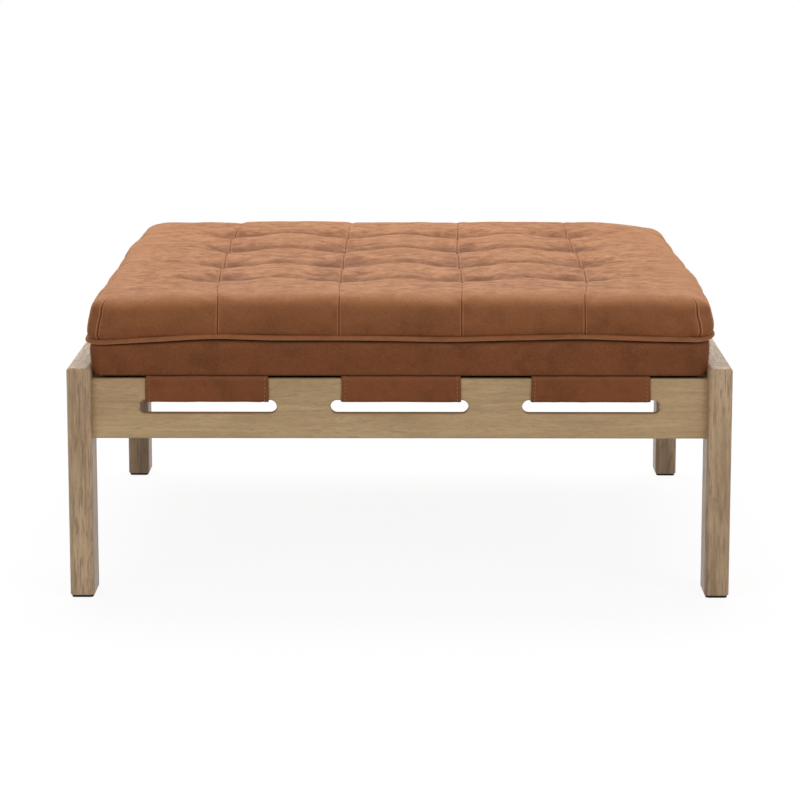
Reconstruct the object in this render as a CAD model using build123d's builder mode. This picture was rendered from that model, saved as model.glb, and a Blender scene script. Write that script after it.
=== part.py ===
from build123d import *
from itertools import pairwise, product
from math import sqrt
import os

os.makedirs("parts", exist_ok=True)

# Lengths are in millimetres
# The front faces -Y, and the origin is on the floor under the centre of the frame

# Wooden frame
frame_width = 914.0
frame_depth = 914.0
frame_height = 323.0
leg_width = 34.0
leg_depth = 66.0
leg_edge_round = 7.0
leg_foot_round = 1.8
frame_edge_round = 6.0
side_rail_height = 100.5
end_rail_drop = 16.5
end_rail_thick = 18.0
end_rail_setback = 12.0
end_rail_round = 3.0

# Foot pads under the legs
pad_thick = 3.0
pad_inset = 0.4

# Slots through the end rails, one for each strap, with the wood between them and at the ends
strap_names = ("strap_left", "strap_middle", "strap_right")
slot_gap = 74.0
slot_end_margin = 64.0
slot_height = 18.5
upper_bar_height = 30.5

# Leather straps round the upper bars of the end rails
strap_side_clear = 12.0
strap_thick = 2.5
strap_tail_margin = 6.5
strap_screw_count = 3
strap_screw_margin = 23.0
strap_screw_bite = 12.0
strap_head_thick = 2.5

# Cross rails between the end rails
cross_rail_width = 60.0
cross_rail_thick = 20.0
cross_rail_round = 3.0

# Dowels
side_dowel_diameter = 10.0
side_dowel_length = 60.0
side_dowel_pitch = 56.0
end_dowel_diameter = 8.0
end_dowel_length = 36.0
end_dowel_pitch = 40.0
cross_dowel_diameter = 8.0
cross_dowel_length = 40.0
cross_dowel_bite = 12.0
cross_dowel_pitch = 30.0
dowel_clear = 0.1

# Corner blocks and their screws
block_leg = 58.0
block_tip = 6.0
block_height = 50.0
block_screw_offset = 40.0
block_screw_grip = 10.0
block_screw_bite = 11.0
block_screw_pitch = 26.0
screw_diameter = 4.0
screw_head_diameter = 8.0
screw_head_thick = 3.0
screw_clear = 0.25

# Bolts that hold the cushion down, with their washers and tee nuts
bolt_inset = 18.0
bolt_diameter = 6.0
bolt_end_clear = 0.9
bolt_head_diameter = 10.5
bolt_head_thick = 4.0
bolt_clear = 0.5
washer_diameter = 18.0
washer_thick = 1.6
tee_flange_diameter = 20.0
tee_flange_thick = 1.5
tee_barrel_diameter = 8.0
tee_barrel_length = 9.0
tee_clear = 0.2

# Cushion: how far each tier stands out over the side rails' inner faces and the end rails' outer faces
cushion_over_side = 11.0
cushion_over_end = 6.0
border_over_side = 6.0
border_over_end = 3.0
cushion_corner = 26.0
border_height = 50.7
border_taper_across = 8.5
border_taper_along = 6.0
leather_thick = 1.5
soft_clear = 0.3
dust_cover_thick = 0.8
dust_cover_margin = 6.0
hem_width = 40.0
board_thick = 12.0
board_clear = 0.5
welt_diameter = 7.6
welt_proud = 2.5
welt_clear = 1.3
overrun = 5.0

# Tufted top
tuft_columns = 4
tuft_rows = 4
tuft_rise = 50.5
panel_rise = 11.0
crown_rise = 2.5
panel_swell = 2.5
cover_round = 32.0
tie_diameter = 2.0
tie_clear = 0.5
anchor_diameter = 16.0
anchor_thick = 2.0
anchor_clear = 0.5

# Pitch of the tufts, of the cushion's width and depth
column_pitch_share = 0.204
row_pitch_share = 0.1975
# How much higher than a tuft the seam between two tufts stands, of the rise of a panel
seam_rise_share = 0.4
# How far the sides swell at the welt, of the swell higher up
seam_swell_share = 0.25
# How full the outer edge of an outer panel stands, of the middle of a panel
edge_full_share = 0.6
# Sides of the tufted cover below its widest line: level of the cover's height, inset of the seam's inset
lower_side_shares = ((0.08, 0.70), (0.19, 0.36), (0.36, 0.06), (0.53, 0.0))
# Sides above the widest line: level of the cover's height, inset of the rounding's size
upper_side_shares = ((0.70, 0.05), (0.84, 0.2), (0.95, 0.5), (1.06, 1.0))
# Sides of the border below the welt: level of its height, inset of its taper
border_side_shares = ((0.0, 1.0), (0.18, 0.82), (0.45, 0.35), (0.78, 0.0))


def spread(count, pitch):
    """Evenly pitched places, centred on zero."""
    return [pitch * (i - (count - 1) / 2) for i in range(count)]


# Places worked out from the sizes above
leg_x = (frame_width - leg_width) / 2
leg_y = (frame_depth - leg_depth) / 2
inner_x = frame_width / 2 - leg_width
side_rail_length = frame_depth - 2 * leg_depth
side_rail_middle = frame_height - side_rail_height / 2
rail_bottom = frame_height - side_rail_height
end_rail_top = frame_height - end_rail_drop
end_rail_height = end_rail_top - rail_bottom
end_rail_middle = (rail_bottom + end_rail_top) / 2
end_rail_outer = frame_depth / 2 - end_rail_setback
end_rail_inner = end_rail_outer - end_rail_thick
slot_top = end_rail_top - upper_bar_height
slot_bottom = slot_top - slot_height
slot_pitch = (2 * (inner_x - slot_end_margin) + slot_gap) / len(strap_names)
slot_length = slot_pitch - slot_gap
slot_places = spread(len(strap_names), slot_pitch)
strap_width = slot_length - 2 * strap_side_clear
strap_tail_top = end_rail_top - strap_tail_margin
strap_screw_pitch = (strap_width - 2 * strap_screw_margin) / (strap_screw_count - 1)
seat_height = end_rail_top + soft_clear + strap_thick
block_bottom = seat_height - block_height
cross_rail_places = [(a + b) / 2 for a, b in pairwise(slot_places)]
cross_dowel_level = seat_height - cross_rail_thick / 2 - cross_rail_round
cushion_width = 2 * (inner_x + cushion_over_side)
cushion_depth = 2 * (end_rail_outer + cushion_over_end)
border_width = 2 * (inner_x + border_over_side)
border_depth = 2 * (end_rail_outer + border_over_end)
welt_height = seat_height + border_height
tuft_height = welt_height + tuft_rise
border_base = seat_height + dust_cover_thick
board_base = border_base + leather_thick
board_top = board_base + board_thick
border_top = welt_height - soft_clear
cover_base = welt_height + soft_clear
cover_top = tuft_height + panel_rise + crown_rise
seam_inset = welt_diameter - welt_proud + welt_clear
column_places = spread(tuft_columns, column_pitch_share * cushion_width)
row_places = spread(tuft_rows, row_pitch_share * cushion_depth)
tuft_places = list(product(column_places, row_places))
bolt_x = inner_x - bolt_inset
bolt_y = end_rail_inner - bolt_inset
bolt_base = block_bottom - washer_thick
bolt_length = board_top - bolt_end_clear - bolt_base


def save(piece, name):
    """Label a finished piece and write it to its own file."""
    piece.part.label = name
    export_step(piece.part, f"parts/{name}.step")


def mirrored(piece, plane):
    """The same piece on the other side of a plane."""
    with BuildPart() as copy:
        mirror(piece.part, about=plane)
    return copy


def at_both_ends(part):
    """Solids at the front end repeated at the back end."""
    with BuildPart() as group:
        add(part)
        mirror(about=Plane.XZ)
    return group.part


def at_four_corners(part):
    """Solids at the front left corner repeated at all four corners of the frame."""
    with BuildPart() as group:
        add(part)
        mirror(about=Plane.YZ)
        mirror(about=Plane.XZ)
    return group.part


def rods(places, direction, diameter, length):
    """Round rods that start at the places and run along the direction."""
    with BuildPart() as group:
        with Locations(*[Plane(origin=place, z_dir=direction) for place in places]):
            Cylinder(diameter / 2, length, align=(Align.CENTER, Align.CENTER, Align.MIN))
    return group.part


def fasteners(places, direction, diameter, length, head_diameter, head_thick):
    """Round-headed fasteners, heads seated on the places and shanks along the direction."""
    with BuildPart() as one:
        Cylinder(head_diameter / 2, head_thick, align=(Align.CENTER, Align.CENTER, Align.MAX))
        fillet(one.edges().group_by(Axis.Z)[0], head_thick / 2)
        with BuildSketch(Plane.XY.offset(-head_thick)):
            RegularPolygon(diameter / 3, 6)
        extrude(amount=head_thick / 2, mode=Mode.SUBTRACT)
        Cylinder(diameter / 2, length, align=(Align.CENTER, Align.CENTER, Align.MIN))
    with BuildPart() as group:
        with Locations(*[Plane(origin=place, z_dir=direction) for place in places]):
            add(one.part)
    return group.part


def side_dowels(diameter):
    """Dowels between the legs and the side rails, two at each joint, or their holes."""
    start = -(side_rail_length + side_dowel_length) / 2
    places = [(-leg_x, start, side_rail_middle + rise) for rise in spread(2, side_dowel_pitch)]
    return at_four_corners(rods(places, (0, 1, 0), diameter, side_dowel_length))


def end_dowels(diameter):
    """Dowels between the legs and the end rails, two at each joint, or their holes."""
    start = -inner_x - end_dowel_length / 2
    middle = (end_rail_inner + end_rail_outer) / 2
    places = [(start, -middle, end_rail_middle + rise) for rise in spread(2, end_dowel_pitch)]
    return at_four_corners(rods(places, (1, 0, 0), diameter, end_dowel_length))


def cross_dowels(diameter):
    """Dowels between the end rails and the cross rails, two at each joint, or their holes."""
    start = -end_rail_inner - cross_dowel_bite
    sides = product(cross_rail_places, spread(2, cross_dowel_pitch))
    places = [(place + side, start, cross_dowel_level) for place, side in sides]
    return at_both_ends(rods(places, (0, 1, 0), diameter, cross_dowel_length))


side_dowel_holes = side_dowels(side_dowel_diameter + 2 * dowel_clear)
end_dowel_holes = end_dowels(end_dowel_diameter + 2 * dowel_clear)
cross_dowel_holes = cross_dowels(cross_dowel_diameter + 2 * dowel_clear)

with BuildPart() as leg_dowels:
    add(side_dowels(side_dowel_diameter))
    add(end_dowels(end_dowel_diameter))
save(leg_dowels, "leg_dowels")

with BuildPart() as cross_rail_dowels:
    add(cross_dowels(cross_dowel_diameter))
save(cross_rail_dowels, "cross_rail_dowels")

# Screws through each corner block: two into the end rail and two into the side rail
block_screw_levels = [seat_height - block_height / 2 + rise for rise in spread(2, block_screw_pitch)]
block_screw_length = block_screw_grip + block_screw_bite
screw_near_x = -inner_x + block_screw_grip
screw_near_y = -end_rail_inner + block_screw_grip
screws_to_end = [(-inner_x + block_screw_offset, screw_near_y, level) for level in block_screw_levels]
screws_to_side = [(screw_near_x, -end_rail_inner + block_screw_offset, level) for level in block_screw_levels]


def block_screw_shanks(diameter):
    """The shanks of one corner block's screws, or their holes."""
    with BuildPart() as group:
        add(rods(screws_to_end, (0, -1, 0), diameter, block_screw_length))
        add(rods(screws_to_side, (-1, 0, 0), diameter, block_screw_length))
    return group.part


def block_screw_bores(diameter):
    """The bores that let the heads of one corner block's screws into it."""
    with BuildPart() as group:
        add(rods(screws_to_end, (0, 1, 0), diameter, block_leg))
        add(rods(screws_to_side, (1, 0, 0), diameter, block_leg))
    return group.part


block_screw_holes = at_four_corners(block_screw_shanks(screw_diameter + 2 * dowel_clear))
with BuildPart() as corner_block_screws:
    screw_sizes = (screw_diameter, block_screw_length, screw_head_diameter, screw_head_thick)
    add(at_four_corners(fasteners(screws_to_end, (0, -1, 0), *screw_sizes)))
    add(at_four_corners(fasteners(screws_to_side, (-1, 0, 0), *screw_sizes)))
save(corner_block_screws, "corner_block_screws")

# Screws through the tails of the straps into the inner faces of the end rails
tail_face = -end_rail_inner + soft_clear + strap_thick
tail_screw_places = [
    (place + side, tail_face, (slot_top + strap_tail_top) / 2)
    for place, side in product(slot_places, spread(strap_screw_count, strap_screw_pitch))
]
tail_screw_length = soft_clear + strap_thick + strap_screw_bite
strap_screw_holes = at_both_ends(
    rods(tail_screw_places, (0, -1, 0), screw_diameter + 2 * dowel_clear, tail_screw_length)
)
with BuildPart() as strap_screws:
    screw_sizes = (screw_diameter, tail_screw_length, screw_head_diameter, strap_head_thick)
    add(at_both_ends(fasteners(tail_screw_places, (0, -1, 0), *screw_sizes)))
save(strap_screws, "strap_screws")

# Legs: rounded all round below the rails, and flush with the side rail behind above them
with BuildPart() as leg_front_left:
    with BuildSketch(Plane.XY.offset(pad_thick)):
        with Locations((-leg_x, -leg_y)):
            RectangleRounded(leg_width, leg_depth, leg_edge_round)
    extrude(amount=rail_bottom - pad_thick)
    with BuildSketch(Plane.XY.offset(rail_bottom)) as shoulder:
        with Locations((-leg_x, -leg_y)):
            Rectangle(leg_width, leg_depth)
        fillet(shoulder.vertices().group_by(Axis.Y)[0], leg_edge_round)
    extrude(amount=side_rail_height)
    top_face = leg_front_left.faces().sort_by(Axis.Z)[-1]
    fillet(top_face.edges().sort_by(Axis.Y)[:-1], frame_edge_round)
    fillet(leg_front_left.faces().sort_by(Axis.Z)[0].edges(), leg_foot_round)
    add(side_dowel_holes, mode=Mode.SUBTRACT)
    add(end_dowel_holes, mode=Mode.SUBTRACT)
leg_front_right = mirrored(leg_front_left, Plane.YZ)
save(leg_front_left, "leg_front_left")
save(leg_front_right, "leg_front_right")
save(mirrored(leg_front_left, Plane.XZ), "leg_back_left")
save(mirrored(leg_front_right, Plane.XZ), "leg_back_right")

# Rubber pads under the legs
with BuildPart() as foot_pad_front_left:
    with BuildSketch():
        with Locations((-leg_x, -leg_y)):
            RectangleRounded(
                leg_width - 2 * (leg_foot_round + pad_inset),
                leg_depth - 2 * (leg_foot_round + pad_inset),
                leg_edge_round - leg_foot_round,
            )
    extrude(amount=pad_thick)
foot_pad_front_right = mirrored(foot_pad_front_left, Plane.YZ)
save(foot_pad_front_left, "foot_pad_front_left")
save(foot_pad_front_right, "foot_pad_front_right")
save(mirrored(foot_pad_front_left, Plane.XZ), "foot_pad_back_left")
save(mirrored(foot_pad_front_right, Plane.XZ), "foot_pad_back_right")

# Side rails between the front and back legs
with BuildPart() as side_rail_left:
    with BuildSketch(Plane.XZ.offset(-side_rail_length / 2)):
        with Locations((-leg_x, side_rail_middle)):
            RectangleRounded(leg_width, side_rail_height, frame_edge_round)
    extrude(amount=side_rail_length)
    add(side_dowel_holes, mode=Mode.SUBTRACT)
    add(block_screw_holes, mode=Mode.SUBTRACT)
save(side_rail_left, "side_rail_left")
save(mirrored(side_rail_left, Plane.YZ), "side_rail_right")

# End rails with three slots each, set back from the faces of the legs
with BuildPart() as front_rail:
    with BuildSketch(Plane.XZ.offset(end_rail_outer)):
        with Locations((0, end_rail_middle)):
            Rectangle(2 * inner_x, end_rail_height)
        with Locations(*[(place, (slot_bottom + slot_top) / 2) for place in slot_places]):
            SlotOverall(slot_length, slot_height, mode=Mode.SUBTRACT)
    extrude(amount=-end_rail_thick)
    round_edges = front_rail.edges().filter_by(Axis.X) + front_rail.edges().filter_by(GeomType.CIRCLE)
    fillet(round_edges, end_rail_round)
    for holes in (end_dowel_holes, cross_dowel_holes, block_screw_holes, strap_screw_holes):
        add(holes, mode=Mode.SUBTRACT)
save(front_rail, "front_rail")
save(mirrored(front_rail, Plane.XZ), "back_rail")

# Straps: from a tail on the inner face, through the slot, up the outer face and across to the other end
strap_turns = [
    (end_rail_inner - soft_clear, strap_tail_top),
    (end_rail_inner - soft_clear, slot_top - soft_clear),
    (end_rail_outer + soft_clear, slot_top - soft_clear),
    (end_rail_outer + soft_clear, end_rail_top + soft_clear),
]
for name, place in zip(strap_names, slot_places):
    with BuildPart() as strap:
        with BuildSketch(Plane.YZ.offset(place - strap_width / 2)):
            with BuildLine():
                FilletPolyline(
                    [(-y, z) for y, z in strap_turns] + strap_turns[::-1],
                    radius=end_rail_round + soft_clear,
                )
                offset(amount=strap_thick, side=Side.LEFT)
            make_face()
        extrude(amount=strap_width)
        add(strap_screw_holes, mode=Mode.SUBTRACT)
    save(strap, name)

# Cross rails that carry the cushion between the straps
for name, place in zip(("cross_rail_left", "cross_rail_right"), cross_rail_places):
    with BuildPart() as cross_rail:
        with BuildSketch(Plane.XZ.offset(-end_rail_inner)):
            with Locations((place, seat_height - cross_rail_thick / 2)):
                RectangleRounded(cross_rail_width, cross_rail_thick, cross_rail_round)
        extrude(amount=2 * end_rail_inner)
        add(cross_dowel_holes, mode=Mode.SUBTRACT)
    save(cross_rail, name)

# Corner blocks in the angles between the end rails and the side rails
bolt_hole = rods([(-bolt_x, -bolt_y, block_bottom)], (0, 0, 1), bolt_diameter + 2 * bolt_clear, bolt_length)
bolt_holes = at_four_corners(bolt_hole)
block_outline = [(0, 0), (block_leg, 0), (block_leg, block_tip), (block_tip, block_leg), (0, block_leg)]
with BuildPart() as corner_block_front_left:
    with BuildSketch(Plane.XY.offset(block_bottom)):
        with Locations((-inner_x, -end_rail_inner)):
            Polygon(*block_outline, align=None)
    extrude(amount=block_height)
    add(bolt_hole, mode=Mode.SUBTRACT)
    add(block_screw_shanks(screw_diameter + 2 * screw_clear), mode=Mode.SUBTRACT)
    add(block_screw_bores(screw_head_diameter + 2 * screw_clear), mode=Mode.SUBTRACT)
corner_block_front_right = mirrored(corner_block_front_left, Plane.YZ)
save(corner_block_front_left, "corner_block_front_left")
save(corner_block_front_right, "corner_block_front_right")
save(mirrored(corner_block_front_left, Plane.XZ), "corner_block_back_left")
save(mirrored(corner_block_front_right, Plane.XZ), "corner_block_back_right")

# Bolts from below the corner blocks into tee nuts in the board
bolt_seat = (-bolt_x, -bolt_y, bolt_base)
with BuildPart() as cushion_bolts:
    bolt_sizes = (bolt_diameter, bolt_length, bolt_head_diameter, bolt_head_thick)
    add(at_four_corners(fasteners([bolt_seat], (0, 0, 1), *bolt_sizes)))
save(cushion_bolts, "cushion_bolts")

with BuildPart() as cushion_washers:
    add(at_four_corners(rods([bolt_seat], (0, 0, 1), washer_diameter, washer_thick)))
    bore = rods([bolt_seat], (0, 0, 1), bolt_diameter + 2 * tee_clear, washer_thick)
    add(at_four_corners(bore), mode=Mode.SUBTRACT)
save(cushion_washers, "cushion_washers")

tee_top = (-bolt_x, -bolt_y, board_top)


def tee_nut_solids(growth):
    """Flange and barrel of the tee nuts, or their recesses, wider by growth."""
    with BuildPart() as group:
        add(rods([tee_top], (0, 0, -1), tee_flange_diameter + growth, tee_flange_thick))
        add(rods([tee_top], (0, 0, -1), tee_barrel_diameter + growth, tee_barrel_length))
    return at_four_corners(group.part)


with BuildPart() as tee_nuts:
    add(tee_nut_solids(0))
    bore = rods([tee_top], (0, 0, -1), bolt_diameter + 2 * dowel_clear, tee_barrel_length)
    add(at_four_corners(bore), mode=Mode.SUBTRACT)
save(tee_nuts, "tee_nuts")

# Dust cover over the straps, cross rails and corner blocks
with BuildPart() as dust_cover:
    with BuildSketch(Plane.XY.offset(seat_height)):
        RectangleRounded(
            border_width - 2 * (border_taper_across + dust_cover_margin),
            border_depth - 2 * (border_taper_along + dust_cover_margin),
            cushion_corner - dust_cover_margin,
        )
    extrude(amount=dust_cover_thick)
    add(bolt_holes, mode=Mode.SUBTRACT)
save(dust_cover, "dust_cover")


def border_body(inset):
    """Lower tier of the cushion, smaller by inset: it widens upwards and is drawn in at the welt."""
    sections = []
    for level_share, inset_share in border_side_shares:
        half_width = border_width / 2 - inset_share * border_taper_across
        half_depth = border_depth / 2 - inset_share * border_taper_along
        sections.append((border_base + level_share * (border_top - border_base), half_width, half_depth))
    sections.append((border_top, cushion_width / 2 - seam_inset, cushion_depth / 2 - seam_inset))
    with BuildPart() as body:
        for level, half_width, half_depth in sections:
            with BuildSketch(Plane.XY.offset(level)):
                RectangleRounded(2 * (half_width - inset), 2 * (half_depth - inset), cushion_corner - inset)
        loft()
    return body.part


def border_inside(inset, floor, ceiling):
    """The space inside the lower tier, smaller by inset, from the floor to the ceiling."""
    with BuildPart() as body:
        add(border_body(inset))
        extrude(body.faces().filter_by(GeomType.PLANE).sort_by(Axis.Z)[-1], amount=ceiling - border_top)
        split(bisect_by=Plane.XY.offset(floor), keep=Keep.TOP)
    return body.part


# Leather border of the lower tier, turned in under the board as a hem
with BuildPart() as border_cover:
    add(border_body(0))
    add(border_inside(leather_thick, board_base, border_top + overrun), mode=Mode.SUBTRACT)
    with BuildSketch(Plane.XY.offset(border_base)):
        RectangleRounded(
            border_width - 2 * (border_taper_across + hem_width),
            border_depth - 2 * (border_taper_along + hem_width),
            cushion_corner,
        )
    extrude(amount=leather_thick, mode=Mode.SUBTRACT)
    add(bolt_holes, mode=Mode.SUBTRACT)
save(border_cover, "border_cover")


def top_height(x, y, column_full, row_full):
    """Height of the cover over a place, from how full it is along X and along Y."""
    along_seams = seam_rise_share * (column_full + row_full)
    in_panels = (1 - 2 * seam_rise_share) * column_full * row_full
    crown = (1 - (2 * x / cushion_width) ** 2) * (1 - (2 * y / cushion_depth) ** 2)
    return tuft_height + panel_rise * (along_seams + in_panels) + crown_rise * crown


# Plywood board under the foam, with holes for the ties and recesses for the anchors and tee nuts
with BuildPart() as base_board:
    with BuildSketch(Plane.XY.offset(board_base)):
        RectangleRounded(
            border_width - 2 * (border_taper_across + leather_thick + board_clear),
            border_depth - 2 * (border_taper_along + leather_thick + board_clear),
            cushion_corner - leather_thick - board_clear,
        )
    extrude(amount=board_thick)
    with BuildSketch(Plane.XY.offset(board_base)):
        with Locations(*tuft_places):
            Circle(tie_diameter / 2 + tie_clear)
    extrude(amount=board_thick, mode=Mode.SUBTRACT)
    with BuildSketch(Plane.XY.offset(board_base)):
        with Locations(*tuft_places):
            Circle(anchor_diameter / 2 + anchor_clear)
    extrude(amount=anchor_thick, mode=Mode.SUBTRACT)
    add(bolt_holes, mode=Mode.SUBTRACT)
    add(tee_nut_solids(2 * tee_clear), mode=Mode.SUBTRACT)
save(base_board, "base_board")

# Tufts: twine ties from the tufted cover down to anchors let into the underside of the board
with BuildPart() as tuft_anchors:
    add(rods([(x, y, board_base) for x, y in tuft_places], (0, 0, 1), anchor_diameter, anchor_thick))
save(tuft_anchors, "tuft_anchors")

with BuildPart() as tuft_ties:
    for x, y in tuft_places:
        tie_base = board_base + anchor_thick
        tie_top = top_height(x, y, 0, 0) - leather_thick - soft_clear
        add(rods([(x, y, tie_base)], (0, 0, 1), tie_diameter, tie_top - tie_base))
save(tuft_ties, "tuft_ties")

# Foam of the lower tier
with BuildPart() as base_foam:
    add(border_inside(leather_thick + soft_clear, board_top, cover_base))
    with BuildSketch(Plane.XY.offset(board_top)):
        with Locations(*tuft_places):
            Circle(tie_diameter / 2 + tie_clear)
    extrude(amount=cover_base - board_top, mode=Mode.SUBTRACT)
save(base_foam, "base_foam")

# Piping in the seam between the two tiers
welt_reach_x = cushion_width / 2 + welt_proud - welt_diameter / 2
welt_reach_y = cushion_depth / 2 + welt_proud - welt_diameter / 2
with BuildPart() as welt:
    with BuildLine(Plane.XY.offset(welt_height)) as half_ring:
        FilletPolyline(
            (0, -welt_reach_y),
            (welt_reach_x, -welt_reach_y),
            (welt_reach_x, welt_reach_y),
            (0, welt_reach_y),
            radius=cushion_corner,
        )
    with BuildSketch(Plane(origin=half_ring.line @ 0, z_dir=half_ring.line % 0)):
        Circle(welt_diameter / 2)
    sweep()
    mirror(about=Plane.YZ)
save(welt, "welt")


def stations(seams, half):
    """Places across the top with how full the cover is there: edge, panel middle, seam, and so on."""
    reach = half + 2 * panel_swell
    edges = [-reach, *seams, reach]
    places = [(-reach, edge_full_share)]
    for start, end in pairwise(edges):
        places.append(((start + end) / 2, 1.0))
        places.append((end, 0.0 if end < reach else edge_full_share))
    return places


def panel_row_section(y, row_full, base, inset):
    """Upright section across the whole top: an arc over each panel, and a flat base."""
    across = stations(column_places, cushion_width / 2)
    crest = [(x, top_height(x, y, full, row_full) - inset) for x, full in across]
    with BuildSketch(Plane.XZ.offset(-y)) as section:
        with BuildLine():
            for start, middle, end in zip(crest[0::2], crest[1::2], crest[2::2]):
                ThreePointArc(start, middle, end)
            Polyline(crest[-1], (crest[-1][0], base), (crest[0][0], base), crest[0])
        make_face()
    return section.sketch


def swollen_outline(level, inset, pinch, swell):
    """Level outline of the cover, drawn in by the pinch, and swollen between the seams."""
    half_width = cushion_width / 2 - inset - pinch
    half_depth = cushion_depth / 2 - inset - pinch
    x, y = Vector(1, 0), Vector(0, 1)
    sides = (
        (x, -y, column_places, half_width, half_depth),
        (y, x, row_places, half_depth, half_width),
        (-x, y, column_places, half_width, half_depth),
        (-y, -x, row_places, half_depth, half_width),
    )
    with BuildSketch(Plane.XY.offset(level)) as outline:
        with BuildLine():
            for ahead, out, seams, half, reach in sides:
                turn = half - cushion_corner
                for start, end in pairwise([-turn, *seams, turn]):
                    peak = ahead * (start + end) / 2 + out * (reach + swell)
                    ThreePointArc(ahead * start + out * reach, peak, ahead * end + out * reach)
                centre = ahead * turn + out * (reach - cushion_corner)
                corner_peak = centre + (ahead + out) * cushion_corner * sqrt(0.5)
                ThreePointArc(ahead * turn + out * reach, corner_peak, centre + ahead * cushion_corner)
        make_face()
    return outline.sketch


def tufted_body(inset, base):
    """The tufted upper tier, smaller by inset, from the base up."""
    rise = cover_top - inset - cover_base
    outlines = [swollen_outline(base, inset, seam_inset, panel_swell * seam_swell_share)]
    for level_share, inset_share in lower_side_shares:
        swell = panel_swell * (1 - inset_share * (1 - seam_swell_share))
        level = cover_base + level_share * rise
        outlines.append(swollen_outline(level, inset, inset_share * seam_inset, swell))
    for level_share, inset_share in upper_side_shares:
        level = cover_base + level_share * rise
        outlines.append(swollen_outline(level, inset, inset_share * cover_round, panel_swell))
    along = stations(row_places, cushion_depth / 2)
    with BuildPart() as body:
        for row in zip(along[0::2], along[1::2], along[2::2]):
            loft([panel_row_section(y, full, base, inset) for y, full in row])
        loft(outlines, mode=Mode.INTERSECT)
    return body.part


# Tufted cover and foam of the upper tier
with BuildPart() as top_cover:
    add(tufted_body(0, cover_base))
    add(tufted_body(leather_thick, cover_base - overrun), mode=Mode.SUBTRACT)
save(top_cover, "top_cover")

with BuildPart() as top_foam:
    add(tufted_body(leather_thick + soft_clear, cover_base))
    with BuildSketch(Plane.XY.offset(cover_base)):
        with Locations(*tuft_places):
            Circle(tie_diameter / 2 + tie_clear)
    extrude(amount=cover_top - cover_base, mode=Mode.SUBTRACT)
save(top_foam, "top_foam")
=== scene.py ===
from math import cos, pi, radians, sin, sqrt

import bmesh
import bpy
import numpy as np
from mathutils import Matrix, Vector


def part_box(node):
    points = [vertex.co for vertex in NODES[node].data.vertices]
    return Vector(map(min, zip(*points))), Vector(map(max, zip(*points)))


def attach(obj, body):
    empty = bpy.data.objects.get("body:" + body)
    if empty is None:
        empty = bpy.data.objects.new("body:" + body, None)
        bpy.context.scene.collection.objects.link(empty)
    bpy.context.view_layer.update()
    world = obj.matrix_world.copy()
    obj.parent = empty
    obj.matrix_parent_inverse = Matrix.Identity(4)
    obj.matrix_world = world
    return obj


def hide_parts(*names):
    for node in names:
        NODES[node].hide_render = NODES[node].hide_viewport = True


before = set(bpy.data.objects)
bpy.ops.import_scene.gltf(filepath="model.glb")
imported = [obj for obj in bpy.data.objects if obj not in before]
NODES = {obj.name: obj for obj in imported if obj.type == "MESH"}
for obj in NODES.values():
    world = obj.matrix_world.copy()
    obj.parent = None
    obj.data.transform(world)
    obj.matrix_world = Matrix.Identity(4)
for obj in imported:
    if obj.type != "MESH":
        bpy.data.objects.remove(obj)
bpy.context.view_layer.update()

BODY = "root"


# ---- smooth random variation

def waves(seed, count=5, low=0.6, high=2.6):
    """A smooth random function of an angle or length, with values of about one."""
    rng = np.random.default_rng(seed)
    pitch = rng.uniform(low, high, count)
    phase = rng.uniform(0, 2 * pi, count)
    size = rng.uniform(0.5, 1.0, count)
    size /= sqrt((size**2).sum())
    return lambda t: sum(a * np.sin(2 * pi * f * t + p) for a, f, p in zip(size, pitch, phase))


# ---- meshes

def new_object(name, verts, faces, material, smooth=True):
    mesh = bpy.data.meshes.new(name)
    mesh.from_pydata([tuple(v) for v in verts], [], [tuple(f) for f in faces])
    mesh.validate()
    mesh.update()
    mesh.polygons.foreach_set("use_smooth", [smooth] * len(mesh.polygons))
    mesh.materials.append(material)
    obj = bpy.data.objects.new(name, mesh)
    bpy.context.scene.collection.objects.link(obj)
    return obj


def read_vectors(source, field):
    out = np.empty(len(source) * 3)
    source.foreach_get(field, out)
    return out.reshape(-1, 3)


def coords(mesh):
    return read_vectors(mesh.vertices, "co")


def normals(mesh):
    return read_vectors(mesh.vertex_normals, "vector")


def set_coords(mesh, co):
    mesh.vertices.foreach_set("co", np.asarray(co, float).ravel())
    mesh.update()


def set_values(mesh, name, values):
    attribute = mesh.attributes.get(name) or mesh.attributes.new(name, "FLOAT", "POINT")
    attribute.data.foreach_set("value", np.asarray(values, np.float32))


def mark_faces_up(mesh):
    """Stores how much each vertex looks up, for materials that are lighter there, partly from wear and partly
    as painted top light.
    """
    set_values(mesh, "faces_up", np.clip(normals(mesh)[:, 2], 0, 1))


def get_values(mesh, name):
    out = np.empty(len(mesh.vertices), np.float32)
    mesh.attributes[name].data.foreach_get("value", out)
    return out


def edit(mesh, change):
    shell = bmesh.new()
    shell.from_mesh(mesh)
    change(shell)
    shell.to_mesh(mesh)
    shell.free()


def take_caps_off(mesh):
    """Removes faces with many corners, which are slow to simulate and to subdivide."""
    edit(mesh, lambda shell: bmesh.ops.delete(
        shell, geom=[f for f in shell.faces if len(f.verts) > 8], context="FACES_ONLY"))


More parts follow.
